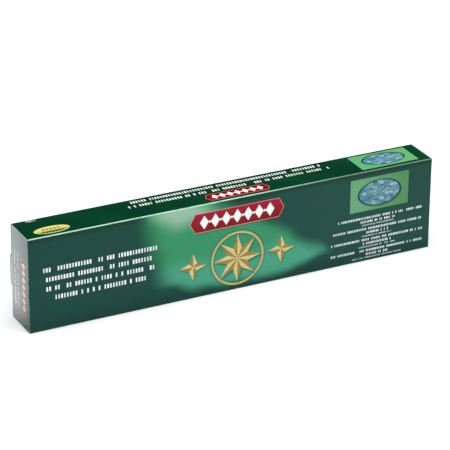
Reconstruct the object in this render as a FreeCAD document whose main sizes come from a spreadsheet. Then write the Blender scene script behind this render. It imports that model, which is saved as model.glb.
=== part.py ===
import FreeCAD, Part
import math
import os
import Sketcher

# A printed folding carton that holds the parts of a wooden turntable for a word game board.
# Frame: origin at the middle of the carton's base panel, +X along its length, +Y to its back, +Z up.
# Lengths are in millimetres and angles in degrees.

NAME = "Sizes"

DRIVING = {
    # carton, sized round what it holds
    "board": 0.8,
    "packing_gap": 3.15,
    "front_gap": 0.35,
    "back_gap": 0.55,
    "top_gap": 4.3,
    "seat_gap": 0.3,
    "fold_radius": 1.2,
    "crease_gap": 0.06,
    "crease_bevel": 0.45,
    "stack_gap": 0.25,
    "raw_edge_gap": 0.15,
    "closure_edge_gap": 0.35,
    "seam_width": 12.0,
    "seam_inset": 16.0,
    # tuck flaps and thumb tabs
    "tuck_gap": 0.4,
    "tuck_depth": 11.0,
    "tuck_inset": 1.5,
    "tuck_corner": 5.0,
    "tuck_tilt": 11.5,
    "tuck_mitre": 1.6,
    "tab_reach": 3.5,
    "tab_height": 30.0,
    "tab_corner": 1.5,
    "slit_width": 0.4,
    # dust flaps
    "dust_length": 30.0,
    "dust_root_inset": 2.0,
    "dust_taper": 0.53,
    "dust_back_gap": 3.7,
    "dust_tip_bevel": 2.5,
    # wooden arms
    "game_board_width": 360.0,
    "game_board_play": 4.0,
    "arm_width": 21.0,
    "arm_bevel": 5.0,
    "lap_play": 0.3,
    # turned buttons and their dowels
    "button_diameter": 29.0,
    "button_length": 18.0,
    "button_round": 2.6,
    "neck_diameter": 16.0,
    "neck_length": 3.0,
    "ring_width": 1.6,
    "ring_depth": 0.8,
    "ring_spacing": 4.0,
    "boss_diameter": 9.0,
    "boss_length": 1.6,
    "dowel_diameter": 8.0,
    "dowel_length": 22.0,
    "glue_gap": 0.05,
    # swivel bearing
    "plate_diameter": 62.0,
    "plate_thickness": 1.6,
    "plate_space": 2.3,
    "ball_diameter": 4.0,
    "ball_play": 0.05,
    "ball_margin": 13.0,
    "cage_width": 8.0,
    "cage_thickness": 1.2,
    "cage_play": 0.15,
    "rivet_diameter": 9.0,
    "rivet_head_diameter": 14.0,
    "rivet_head_thickness": 1.1,
    "rivet_play": 0.08,
    "recess_play": 0.3,
    # screws
    "screw_margin": 6.0,
    "screw_diameter": 3.0,
    "screw_head_diameter": 5.6,
    "screw_head_height": 1.3,
    "screw_play": 0.05,
    "arm_screw_length": 9.0,
    "base_screw_length": 5.2,
    "access_hole_diameter": 7.0,
    # base disc and feet
    "disc_diameter": 84.0,
    "disc_thickness": 4.5,
    "disc_bevel": 1.0,
    "foot_diameter": 11.0,
    "foot_thickness": 1.0,
    "foot_margin": 9.0,
    # folded leaflet
    "leaflet_length": 148.0,
    "leaflet_height": 74.0,
    "leaflet_thickness": 0.8,
    "leaflet_gap": 0.25,
    "leaflet_shift": 46.0,
}

BALL_COUNT = 16
BASE_SCREW_COUNT = 4
FOOT_COUNT = 4
FULL_TURN = 360.0
QUARTER_TURN = 90.0

V = FreeCAD.Vector


class Size:
    """A number together with the spreadsheet formula that gives it."""

    def __init__(self, value, formula):
        self.value = value
        self.formula = formula

    def join(self, sign, other, value):
        return Size(value, "(%s %s %s)" % (self.formula, sign, other.formula))

    def __add__(self, other):
        other = as_size(other)
        return self.join("+", other, self.value + other.value)

    def __sub__(self, other):
        other = as_size(other)
        return self.join("-", other, self.value - other.value)

    def __mul__(self, other):
        other = as_size(other)
        return self.join("*", other, self.value * other.value)

    def __truediv__(self, other):
        other = as_size(other)
        return self.join("/", other, self.value / other.value)

    def __neg__(self):
        return as_size(0) - self


def as_size(number):
    """The number as a Size, so that plain numbers mix with sheet values."""
    if isinstance(number, Size):
        return number
    return Size(float(number), repr(float(number)))


doc = FreeCAD.newDocument("turntable_carton")


def make_sheet():
    """Writes the driving dimensions into the sheet, one aliased cell each."""
    sheet = doc.addObject("Spreadsheet::Sheet", NAME)
    for row, (alias, value) in enumerate(DRIVING.items(), start=1):
        cell = "A%d" % row
        sheet.set(cell, str(value))
        sheet.setAlias(cell, alias)
    doc.recompute()
    return sheet


sheet = make_sheet()


def dim(alias):
    """A driving dimension of the sheet."""
    return Size(float(sheet.get(alias)), "%s.%s" % (NAME, alias))


def bind(item, path, size):
    """Ties one property of an object to the sheet."""
    item.setExpression(path, as_size(size).formula)


def place(item, spot, rotation=None):
    """Puts a piece at a spot that follows the sheet, turned by an optional rotation."""
    if rotation:
        item.Placement = FreeCAD.Placement(V(0, 0, 0), rotation)
    for axis, size in zip("xyz", spot):
        bind(item, "Placement.Base.%s" % axis, size)


# ---------------------------------------------------------------- sketches and features

def make_body(label):
    """An empty body that one piece is built in."""
    body = doc.addObject("PartDesign::Body", label)
    body.Label = label
    return body


def make_sketch(body, role, offset):
    """An empty sketch on one of the body's own origin planes, moved along its normal."""
    planes = [plane for plane in body.Origin.OriginFeatures if plane.Role == role]
    sketch = body.newObject("Sketcher::SketchObject", body.Label + "_sketch")
    sketch.AttachmentSupport = (planes[0], [""])
    sketch.MapMode = "FlatFace"
    bind(sketch, ".AttachmentOffset.Base.z", offset)
    return sketch


def pin_point(sketch, geometry, point, spot):
    """Fixes a point of the sketch at two sheet sizes from the sketch's origin."""
    for kind, size in zip(("DistanceX", "DistanceY"), spot):
        rule = Sketcher.Constraint(kind, -1, 1, geometry, point, as_size(size).value)
        index = sketch.addConstraint(rule)
        bind(sketch, "Constraints[%d]" % index, size)


def draw_outline(sketch, points):
    """Draws a closed outline of straight lines through the points."""
    first = len(sketch.Geometry)
    spots = [V(as_size(x).value, as_size(y).value, 0) for x, y in points]
    for start, end in zip(spots, spots[1:] + spots[:1]):
        sketch.addGeometry(Part.LineSegment(start, end), False)
    count = len(points)
    for step in range(count):
        line = first + step
        following = first + (step + 1) % count
        sketch.addConstraint(Sketcher.Constraint("Coincident", line, 2, following, 1))
    for step, spot in enumerate(points):
        pin_point(sketch, first + step, 1, spot)


def draw_circle(sketch, centre, diameter):
    """Draws a circle of a sheet diameter round a sheet centre."""
    middle = V(as_size(centre[0]).value, as_size(centre[1]).value, 0)
    round_line = Part.Circle(middle, V(0, 0, 1), diameter.value / 2)
    index = sketch.addGeometry(round_line, False)
    rule = sketch.addConstraint(Sketcher.Constraint("Diameter", index, diameter.value))
    bind(sketch, "Constraints[%d]" % rule, diameter)
    pin_point(sketch, index, 3, centre)


def extrude(body, sketch, length, cut):
    """Pads or pockets a sketch along its own normal."""
    kind = "PartDesign::Pocket" if cut else "PartDesign::Pad"
    feature = body.newObject(kind, body.Label + "_feature")
    feature.Profile = (sketch, [""])
    feature.Reversed = cut
    bind(feature, "Length", length)
    return feature


def prism(body, role, start, length, points, cut=False):
    """A straight-sided block, or a cut of that shape, from an outline."""
    sketch = make_sketch(body, role, start)
    draw_outline(sketch, points)
    return extrude(body, sketch, length, cut)


def rounds(body, role, start, length, circles, cut=False):
    """Round blocks or round holes from circles given as (centre, diameter)."""
    sketch = make_sketch(body, role, start)
    for centre, diameter in circles:
        draw_circle(sketch, centre, diameter)
    return extrude(body, sketch, length, cut)


def turn(body, role, points, axis, cut=False):
    """A turned shape, or a turned cut, from an outline and one axis of its sketch."""
    sketch = make_sketch(body, role, 0)
    draw_outline(sketch, points)
    return revolve(body, sketch, axis, cut)


def revolve(body, sketch, axis, cut):
    """Turns a sketch once round its axis, to add or to cut."""
    kind = "PartDesign::Groove" if cut else "PartDesign::Revolution"
    feature = body.newObject(kind, body.Label + "_turned")
    feature.Profile = (sketch, [""])
    feature.ReferenceAxis = (sketch, [axis])
    feature.Angle = FULL_TURN
    return feature


def fillet(body, base, chosen, radius):
    """Rounds the edges of a feature that the test picks."""
    doc.recompute()
    names = []
    for index, edge in enumerate(base.Shape.Edges, start=1):
        if chosen(edge):
            names.append("Edge%d" % index)
    feature = body.newObject("PartDesign::Fillet", body.Label + "_round")
    feature.Base = (base, names)
    bind(feature, "Radius", radius)
    return feature


def rectangle(low, high):
    """The four corners between a low and a high corner."""
    return [(low[0], low[1]), (high[0], low[1]), (high[0], high[1]), (low[0], high[1])]


def group(label, pieces):
    """One node that holds several separate solids."""
    compound = doc.addObject("Part::Compound", label)
    compound.Links = pieces
    compound.Label = label
    return compound


def ring_spots(diameter, count, first_angle):
    """Spots evenly spaced on a circle, as sheet sizes."""
    spots = []
    for step in range(count):
        angle = math.radians(first_angle + step * FULL_TURN / count)
        spots.append((diameter / 2 * math.cos(angle), diameter / 2 * math.sin(angle)))
    return spots


# ---------------------------------------------------------------- shared places

board = dim("board")
crease_gap = dim("crease_gap")
crease_bevel = dim("crease_bevel")
button_radius = dim("button_diameter") / 2
arm_half = dim("arm_width") / 2
arm_length = dim("game_board_width") + dim("game_board_play")
panel_end = board + dim("stack_gap")

# stack of the swivel, from the bar's back face
lower_plate_start = dim("plate_thickness") + dim("plate_space")
disc_start = lower_plate_start + dim("plate_thickness")
foot_start = disc_start + dim("disc_thickness")
swivel_depth = foot_start + dim("foot_thickness")
ball_level = dim("plate_thickness") + dim("plate_space") / 2

# circles that the balls, the screws and the feet stand on, set in from the rim that carries them
ball_circle = dim("plate_diameter") - dim("ball_margin") * 2
screw_circle = dim("plate_diameter") - dim("screw_margin") * 2
foot_circle = dim("disc_diameter") - dim("foot_margin") * 2

# levels of the packed bars, and the carton's outside sizes round them
cross_arm_z = board + dim("seat_gap") + button_radius
swivel_arm_z = cross_arm_z + dim("button_diameter") + dim("seat_gap")
length = arm_length + (dim("button_length") + dim("packing_gap") + board + panel_end) * 2
arm_band = button_radius + arm_half
depth = board + dim("front_gap") + arm_band + swivel_depth + dim("back_gap") + board
height = swivel_arm_z + dim("disc_diameter") / 2 + dim("top_gap") + board

front = -depth / 2
back = depth / 2
back_inside = back - board
tuck_crease = depth - board - dim("tuck_gap")
closure_low = dim("closure_edge_gap")
closure_high = height - dim("closure_edge_gap")
tab_low = height / 2 - dim("tab_height") / 2
tab_high = height / 2 + dim("tab_height") / 2

arm_y = front + board + dim("front_gap") + button_radius
arm_back = arm_y + arm_half
swivel_spot = (as_size(0), arm_back, swivel_arm_z)
face_back = FreeCAD.Rotation(V(1, 0, 0), -QUARTER_TURN)


def at_end(side, inward):
    """X of a point that lies a given way inside one end of the carton."""
    return (length / 2 - inward) * side


def plan(side, points):
    """Plan points given from the front corner of one end, as (inward, backward)."""
    return [(at_end(side, inward), front + backward) for inward, backward in points]


# ---------------------------------------------------------------- carton sleeve

def end_cut(side):
    """Plan outline of what is cut off each end of the tube, leaving the front panel's crease."""
    outside = -board
    return plan(side, [
        (outside, outside),
        (crease_bevel, outside),
        (crease_bevel, as_size(0)),
        ((crease_bevel + crease_gap) / 2, (crease_bevel - crease_gap) / 2),
        (board + crease_gap, board),
        (panel_end, board),
        (panel_end, depth - board),
        (dim("raw_edge_gap"), depth - board),
        (dim("raw_edge_gap"), depth + board),
        (outside, depth + board),
    ])


def dust_crease_cut(side, upper):
    """Side outline of the bevel on a panel's end where a dust flap folds."""
    def level(down):
        return height - down if upper else down
    return [
        (at_end(side, panel_end - board), level(-board)),
        (at_end(side, panel_end + crease_gap - board), level(-board)),
        (at_end(side, panel_end + crease_gap + board), level(board)),
        (at_end(side, panel_end - board), level(board)),
    ]


def is_long_outer_edge(edge):
    """True for the four long outer corners of the tube."""
    box = edge.BoundBox
    at_corner = abs(abs(box.Center.y) - depth.value / 2) < crease_gap.value
    at_level = min(abs(box.Center.z), abs(box.Center.z - height.value)) < crease_gap.value
    return box.XLength > length.value / 2 and at_corner and at_level


def carton_sleeve():
    """Four panels folded into a tube, with the glued seam flap inside the base panel."""
    body = make_body("carton_sleeve")
    tube = prism(body, "YZ_Plane", -length / 2, length, rectangle((front, 0), (back, height)))
    fillet(body, tube, is_long_outer_edge, dim("fold_radius"))
    inside = rectangle((front + board, board), (back_inside, height - board))
    prism(body, "YZ_Plane", -length / 2, length, inside, cut=True)
    for side in (-1, 1):
        prism(body, "XY_Plane", 0, height, end_cut(side), cut=True)
        notch = rectangle((back_inside - board, tab_low - dim("slit_width")),
                          (back + board, tab_high + dim("slit_width")))
        notch_start = at_end(side, panel_end) if side < 0 else length / 2
        prism(body, "YZ_Plane", notch_start - panel_end, panel_end, notch, cut=True)
        slit = dim("slit_width")
        root = dust_root_width() + slit * 2
        for upper in (False, True):
            fold = dust_crease_cut(side, upper)
            prism(body, "XZ_Plane", -dust_back() - slit, root, fold, cut=True)
    seam_length = length - (panel_end + dim("seam_inset")) * 2
    seam = rectangle((back_inside - dim("seam_width"), board), (back_inside, board * 2))
    prism(body, "YZ_Plane", -seam_length / 2, seam_length, seam)
    return body


# ---------------------------------------------------------------- end closures

def closure_panel(name, side):
    """The end panel that folds over from the front panel, with its thumb tab."""
    body = make_body(name + "_closure_panel")
    outline = plan(side, [
        (as_size(0), crease_bevel),
        ((crease_bevel - crease_gap) / 2, (crease_bevel + crease_gap) / 2),
        (board, board + crease_gap),
        (board, tuck_crease - board - crease_gap),
        ((crease_bevel - crease_gap) / 2, tuck_crease - (crease_bevel + crease_gap) / 2),
        (as_size(0), tuck_crease - crease_bevel),
    ])
    prism(body, "XY_Plane", closure_low, closure_high - closure_low, outline)
    corner = dim("tab_corner")
    root = front + tuck_crease - board * 2
    tip = back + dim("tab_reach")
    tab = [
        (root, tab_low),
        (tip - corner, tab_low),
        (tip, tab_low + corner),
        (tip, tab_high - corner),
        (tip - corner, tab_high),
        (root, tab_high),
    ]
    start = -length / 2 if side < 0 else length / 2 - board
    prism(body, "YZ_Plane", start, board, tab)
    return body


def tuck_flap(name, side):
    """The flap that slides in behind the back panel, tilted in a little from its crease."""
    body = make_body(name + "_tuck_flap")
    mitre = board * dim("tuck_mitre")
    bevel_run = crease_bevel / 2
    reach = dim("tuck_depth")
    outline = [
        (bevel_run * side * -1, -crease_gap),
        (reach * side * -1, -crease_gap),
        (reach * side * -1, -board),
        ((mitre + crease_gap) * side * -1, -board),
        ((bevel_run + crease_gap) * side * -1, -crease_gap - bevel_run / 2),
    ]
    low = closure_low + dim("tuck_inset")
    high = closure_high - dim("tuck_inset")
    prism(body, "XY_Plane", low, high - low, outline)
    corner = dim("tuck_corner")
    past = reach + board
    for level, inward in ((low, corner), (high, -corner)):
        bevel = [
            (reach * side * -1, level + inward),
            (past * side * -1, level + inward),
            (past * side * -1, level - inward / 2),
            ((reach - corner / 2) * side * -1, level - inward / 2),
        ]
        prism(body, "XZ_Plane", -board, board * 3, bevel, cut=True)
    slot_reach = back + dim("tab_reach") - front - tuck_crease + dim("slit_width")
    slot = rectangle((-slot_reach, tab_low - dim("slit_width")), (slot_reach, tab_high + dim("slit_width")))
    prism(body, "XZ_Plane", -board, board * 3, slot, cut=True)
    tilt = FreeCAD.Rotation(V(0, 0, 1), dim("tuck_tilt").value * side)
    place(body, (at_end(side, 0), front + tuck_crease, 0), tilt)
    return body


# ---------------------------------------------------------------- dust flaps

def dust_back():
    """Y of the dust flaps' back edge."""
    return back_inside - dim("dust_back_gap")


def dust_root_width():
    """Width of a dust flap along its crease."""
    return dust_back() - front - dim("dust_root_inset")


def dust_flap(name, side, upper):
    """A tapered flap that folds in from the top or base panel behind the closure panel."""
    body = make_body("%s_%s_dust_flap" % (name, "top" if upper else "bottom"))

    def level(down):
        return height - down if upper else as_size(down)

    reach = dim("dust_length")
    section = [
        (at_end(side, panel_end), level(crease_bevel)),
        (at_end(side, panel_end), level(reach)),
        (at_end(side, panel_end + board), level(reach)),
        (at_end(side, panel_end + board), level(board + crease_gap)),
        (at_end(side, panel_end + crease_bevel / 2), level((crease_bevel / 2 + crease_gap))),
    ]
    prism(body, "XZ_Plane", -dust_back(), dust_root_width(), section)
    root_front = front + dim("dust_root_inset")
    tip_front = root_front + reach * dim("dust_taper")
    over = board * 2
    front_trim = [
        (root_front - over, level(-over)),
        (root_front - over * dim("dust_taper"), level(-over)),
        (tip_front + over * dim("dust_taper"), level(reach + over)),
        (root_front - over, level(reach + over)),
    ]
    bevel = dim("dust_tip_bevel")
    back_trim = [
        (dust_back(), level(reach - bevel * 2)),
        (dust_back() + over, level(reach - bevel * 2)),
        (dust_back() + over, level(reach + over)),
        (dust_back() - bevel, level(reach + over)),
        (dust_back() - bevel, level(reach)),
    ]
    start = at_end(side, panel_end) if side < 0 else at_end(side, panel_end + board)
    for trim in (front_trim, back_trim):
        prism(body, "YZ_Plane", start - over, board + over * 2, trim, cut=True)
    return body


# ---------------------------------------------------------------- wooden arms

def arm_bar(name, level):
    """A bevelled wooden bar with a dowel hole in each end."""
    body = make_body(name)
    bevel = dim("arm_bevel")
    section = []
    for across, up, across_first in ((-1, -1, True), (1, -1, False), (1, 1, True), (-1, 1, False)):
        flat = (arm_y + (arm_half - bevel) * across, level + arm_half * up)
        upright = (arm_y + arm_half * across, level + (arm_half - bevel) * up)
        pair = [upright, flat] if across_first else [flat, upright]
        section.extend(pair)
    prism(body, "YZ_Plane", -arm_length / 2, arm_length, section)
    bore = dim("dowel_diameter") + dim("glue_gap") * 2
    bore_depth = dim("dowel_length") / 2 + dim("seat_gap")
    for start in (-arm_length / 2, arm_length / 2 - bore_depth):
        rounds(body, "YZ_Plane", start, bore_depth, [((arm_y, level), bore)], cut=True)
    return body


def lap_notch(body, level, faces_back):
    """Cuts the half-lap notch that takes the other bar at mid-length."""
    half_width = (dim("arm_width") + dim("lap_play")) / 2
    over = board * 2
    cut_depth = arm_half + dim("lap_play") / 2 + over
    end = arm_y + arm_half + over if faces_back else arm_y - arm_half - over + cut_depth
    outline = rectangle((-half_width, level - arm_half - over), (half_width, level + arm_half + over))
    prism(body, "XZ_Plane", -end, cut_depth, outline, cut=True)


def cross_arm_bar():
    """The lower packed bar, notched from behind."""
    body = arm_bar("cross_arm_bar", cross_arm_z)
    lap_notch(body, cross_arm_z, True)
    return body


def swivel_arm_bar():
    """The bar that carries the swivel, with its rivet recess and screw holes."""
    body = arm_bar("swivel_arm_bar", swivel_arm_z)
    lap_notch(body, swivel_arm_z, False)
    recess = dim("rivet_head_thickness") + dim("recess_play")
    recess_width = dim("rivet_head_diameter") + dim("recess_play") * 2
    centre = (as_size(0), swivel_arm_z)
    rounds(body, "XZ_Plane", -arm_back, recess, [(centre, recess_width)], cut=True)
    pilot = dim("screw_diameter") + dim("screw_play") * 2
    pilot_depth = dim("arm_screw_length") - dim("plate_thickness") + dim("recess_play")
    holes = [((screw_circle / 2 * side, swivel_arm_z), pilot) for side in (-1, 1)]
    rounds(body, "XZ_Plane", -arm_back, pilot_depth, holes, cut=True)
    return body


def button_profile():
    """Half outline of a turned button, along its axis from the bar's end."""
    radius = button_radius
    rounding = dim("button_round")
    ring = dim("ring_width")
    ring_floor = radius - dim("ring_depth")
    flange = dim("neck_length") + rounding
    first_ring = flange + dim("ring_spacing") / 2
    second_ring = first_ring + dim("ring_spacing")
    shoulder = dim("button_length") - dim("boss_length")
    bore = dim("dowel_diameter") / 2 + dim("glue_gap")
    bore_depth = dim("dowel_length") / 2
    points = [
        (as_size(0), bore),
        (as_size(0), dim("neck_diameter") / 2),
        (dim("neck_length"), dim("neck_diameter") / 2),
        (dim("neck_length"), radius - rounding),
        (flange, radius),
    ]
    for ring_start in (first_ring, second_ring):
        points.append((ring_start - ring / 2, radius))
        points.append((ring_start, ring_floor))
        points.append((ring_start + ring / 2, radius))
    points.extend([
        (shoulder - rounding, radius),
        (shoulder - rounding / 3, radius - rounding / 2),
        (shoulder, radius - rounding * 3 / 2),
        (shoulder, dim("boss_diameter") / 2),
        (dim("button_length") - dim("boss_length") / 3, dim("boss_diameter") / 2),
        (dim("button_length"), dim("boss_diameter") / 3),
        (dim("button_length"), as_size(0)),
        (bore_depth, as_size(0)),
        (bore_depth, bore),
    ])
    return points


def arm_button(name, side, level):
    """A turned button on one end of a bar."""
    body = make_body(name)
    turn(body, "XZ_Plane", button_profile(), "H_Axis")
    facing = FreeCAD.Rotation(V(0, 0, 1), 0 if side > 0 else FULL_TURN / 2)
    place(body, (arm_length / 2 * side, arm_y, level), facing)
    return body


def button_dowels():
    """Four dowels that join the buttons to the bars."""
    along_x = FreeCAD.Rotation(V(0, 1, 0), QUARTER_TURN)
    dowels = []
    for level in (cross_arm_z, swivel_arm_z):
        for side in (-1, 1):
            dowel = doc.addObject("Part::Cylinder", "dowel")
            bind(dowel, "Radius", dim("dowel_diameter") / 2)
            bind(dowel, "Height", dim("dowel_length") - dim("seat_gap"))
            middle = arm_length / 2 * side
            start = middle - dim("dowel_length") / 2 + dim("seat_gap") / 2
            place(dowel, (start, arm_y, level), along_x)
            dowels.append(dowel)
    return group("button_dowels", dowels)


# ---------------------------------------------------------------- swivel bearing

def race_groove(body):
    """Cuts the ball track into a bearing plate."""
    sketch = make_sketch(body, "XZ_Plane", 0)
    track = dim("ball_diameter") + dim("ball_play") * 2
    draw_circle(sketch, (ball_circle / 2, ball_level), track)
    revolve(body, sketch, "V_Axis", True)


def upper_plate():
    """The bearing plate that is screwed to the bar."""
    body = make_body("swivel_upper_plate")
    thickness = dim("plate_thickness")
    centre = (as_size(0), as_size(0))
    rounds(body, "XY_Plane", 0, thickness, [(centre, dim("plate_diameter"))])
    rivet_hole = dim("rivet_diameter") + dim("glue_gap") * 2
    rounds(body, "XY_Plane", 0, thickness, [(centre, rivet_hole)], cut=True)
    access = [(spot, dim("access_hole_diameter")) for spot in base_screw_spots()]
    rounds(body, "XY_Plane", 0, thickness, access, cut=True)
    screw_hole = dim("screw_head_diameter") + dim("screw_play") * 2
    holes = [(spot, screw_hole) for spot in arm_screw_spots()]
    rounds(body, "XY_Plane", 0, thickness, holes, cut=True)
    race_groove(body)
    place(body, swivel_spot, face_back)
    return body


def lower_plate():
    """The bearing plate that is screwed to the base disc."""
    body = make_body("swivel_lower_plate")
    thickness = dim("plate_thickness")
    centre = (as_size(0), as_size(0))
    rounds(body, "XY_Plane", lower_plate_start, thickness, [(centre, dim("plate_diameter"))])
    pivot_hole = dim("rivet_diameter") + dim("rivet_play") * 2
    rounds(body, "XY_Plane", lower_plate_start, thickness, [(centre, pivot_hole)], cut=True)
    screw_hole = dim("screw_head_diameter") + dim("screw_play") * 2
    holes = [(spot, screw_hole) for spot in base_screw_spots()]
    rounds(body, "XY_Plane", lower_plate_start, thickness, holes, cut=True)
    race_groove(body)
    place(body, swivel_spot, face_back)
    return body


def base_screw_spots():
    """Where the screws of the base disc stand, between the arm screws."""
    return ring_spots(screw_circle, BASE_SCREW_COUNT, FULL_TURN / BASE_SCREW_COUNT / 2)


def arm_screw_spots():
    """Where the two screws through the upper plate stand, along the bar."""
    return ring_spots(screw_circle, 2, 0)


def swivel_rivet():
    """The hollow-headed rivet that both plates turn on."""
    body = make_body("swivel_rivet")
    shank = dim("rivet_diameter") / 2
    head = dim("rivet_head_diameter") / 2
    low = -dim("rivet_head_thickness")
    far = disc_start + dim("rivet_play")
    top = far + dim("rivet_head_thickness")
    bevel = dim("rivet_head_thickness") / 2
    turn(body, "XZ_Plane", [
        (as_size(0), low),
        (head - bevel, low),
        (head, low + bevel),
        (head, -dim("glue_gap")),
        (shank, -dim("glue_gap")),
        (shank, far),
        (head, far),
        (head, top - bevel),
        (head - bevel, top),
        (as_size(0), top),
    ], "V_Axis")
    place(body, swivel_spot, face_back)
    return body


def ball_ring():
    """The steel balls that run between the plates."""
    balls = []
    for across, up in ring_spots(ball_circle, BALL_COUNT, 0):
        ball = doc.addObject("Part::Sphere", "ball")
        bind(ball, "Radius", dim("ball_diameter") / 2)
        place(ball, (across, ball_level, up))
        balls.append(ball)
    node = group("swivel_balls", balls)
    place(node, (as_size(0), arm_back, swivel_arm_z))
    return node


def ball_cage():
    """The flat ring that spaces the balls."""
    body = make_body("swivel_ball_cage")
    low = ball_level - dim("cage_thickness") / 2
    centre = (as_size(0), as_size(0))
    outer = ball_circle + dim("cage_width")
    inner = ball_circle - dim("cage_width")
    rounds(body, "XY_Plane", low, dim("cage_thickness"), [(centre, outer), (centre, inner)])
    pocket = dim("ball_diameter") + dim("cage_play") * 2
    pockets = [(spot, pocket) for spot in ring_spots(ball_circle, BALL_COUNT, 0)]
    rounds(body, "XY_Plane", low, dim("cage_thickness"), pockets, cut=True)
    place(body, swivel_spot, face_back)
    return body


def screw(spot, head_level, reach, along_back):
    """One countersunk screw, its flat head level with a plate's inner face."""
    direction = 1 if along_back else -1
    turned = FreeCAD.Rotation(V(1, 0, 0), -QUARTER_TURN * direction)
    head = doc.addObject("Part::Cone", "screw_head")
    bind(head, "Radius1", dim("screw_head_diameter") / 2)
    bind(head, "Radius2", dim("screw_diameter") / 2)
    bind(head, "Height", dim("screw_head_height"))
    shank = doc.addObject("Part::Cylinder", "screw_shank")
    bind(shank, "Radius", dim("screw_diameter") / 2)
    bind(shank, "Height", reach)
    for item in (head, shank):
        place(item, (spot[0], arm_back + head_level, swivel_arm_z - spot[1]), turned)
    whole = doc.addObject("Part::Fuse", "screw")
    whole.Base = head
    whole.Tool = shank
    return whole


def arm_screws():
    """Screws that hold the upper plate to the bar."""
    level = dim("plate_thickness")
    reach = dim("arm_screw_length")
    return group("arm_screws", [screw(spot, level, reach, False) for spot in arm_screw_spots()])


def base_screws():
    """Screws that hold the base disc to the lower plate."""
    reach = dim("base_screw_length")
    spots = base_screw_spots()
    return group("base_screws", [screw(spot, lower_plate_start, reach, True) for spot in spots])


def base_disc():
    """The wooden disc that stands on the table."""
    body = make_body("swivel_base_disc")
    radius = dim("disc_diameter") / 2
    bevel = dim("disc_bevel")
    turn(body, "XZ_Plane", [
        (as_size(0), disc_start),
        (radius - bevel, disc_start),
        (radius, disc_start + bevel),
        (radius, foot_start - bevel),
        (radius - bevel, foot_start),
        (as_size(0), foot_start),
    ], "V_Axis")
    centre = (as_size(0), as_size(0))
    recess = dim("rivet_head_thickness") + dim("rivet_play") + dim("recess_play")
    recess_width = dim("rivet_head_diameter") + dim("recess_play") * 2
    rounds(body, "XY_Plane", disc_start, recess, [(centre, recess_width)], cut=True)
    pilot = dim("screw_diameter") + dim("screw_play") * 2
    pilot_depth = dim("base_screw_length") - dim("plate_thickness") + dim("screw_play")
    holes = [(spot, pilot) for spot in base_screw_spots()]
    rounds(body, "XY_Plane", disc_start, pilot_depth, holes, cut=True)
    place(body, swivel_spot, face_back)
    return body


def foot_pads():
    """Soft pads under the base disc."""
    pads = []
    first_angle = FULL_TURN / FOOT_COUNT / 2
    for across, up in ring_spots(foot_circle, FOOT_COUNT, first_angle):
        pad = doc.addObject("Part::Cylinder", "foot_pad")
        bind(pad, "Radius", dim("foot_diameter") / 2)
        bind(pad, "Height", dim("foot_thickness"))
        place(pad, (across, arm_back + foot_start, swivel_arm_z - up), face_back)
        pads.append(pad)
    return group("foot_pads", pads)


def instruction_leaflet():
    """A folded leaflet that stands between the bars and the front panel."""
    body = make_body("instruction_leaflet")
    near = front + board + dim("leaflet_gap")
    low = board + dim("seat_gap")
    outline = rectangle((-dim("leaflet_length") / 2 - dim("leaflet_shift"), near),
                        (dim("leaflet_length") / 2 - dim("leaflet_shift"),
                         near + dim("leaflet_thickness")))
    prism(body, "XY_Plane", low, dim("leaflet_height"), outline)
    return body


# ---------------------------------------------------------------- build and write

def build():
    """Makes every sub-part of the object."""
    parts = [carton_sleeve()]
    for name, side in (("left", -1), ("right", 1)):
        parts.append(closure_panel(name, side))
        parts.append(tuck_flap(name, side))
        parts.append(dust_flap(name, side, True))
        parts.append(dust_flap(name, side, False))
        parts.append(arm_button("cross_arm_%s_button" % name, side, cross_arm_z))
        parts.append(arm_button("swivel_arm_%s_button" % name, side, swivel_arm_z))
    for maker in (cross_arm_bar, swivel_arm_bar, button_dowels, upper_plate, lower_plate,
                  swivel_rivet, ball_ring, ball_cage, arm_screws, base_screws, base_disc,
                  foot_pads, instruction_leaflet):
        parts.append(maker())
    return parts


def check(parts):
    """Stops if a feature failed or a sub-part has no sound solid."""
    for item in doc.Objects:
        if "Invalid" in item.State or "Error" in item.State:
            raise RuntimeError("%s failed: %s" % (item.Name, item.State))
    for part in parts:
        if part.Shape.isNull() or not part.Shape.isValid() or not part.Shape.Solids:
            raise RuntimeError("%s has no valid solid" % part.Label)


parts = build()
doc.recompute()
check(parts)
os.makedirs("parts", exist_ok=True)
for part in parts:
    part.Shape.exportStep("parts/%s.step" % part.Label)
    box = part.Shape.BoundBox
    print("%-28s %d solid(s) %9.1f mm3  x %.1f..%.1f  y %.1f..%.1f  z %.1f..%.1f" % (
        part.Label, len(part.Shape.Solids), part.Shape.Volume,
        box.XMin, box.XMax, box.YMin, box.YMax, box.ZMin, box.ZMax))
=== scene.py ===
"""Looks of a long printed game carton that lies on its narrow side, closed at both ends.

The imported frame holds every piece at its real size: the carton with its folding flaps, and the
wooden turntable kit inside it. This script gives each of them its finish. The carton's print is
worked out in millimetres on each panel: green ground, a lit patch, plain ribbons, stars, mosaics
and rows of blank tiles.
"""

import math
from functools import partialmethod

import bpy
from mathutils import Matrix, Vector


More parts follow.
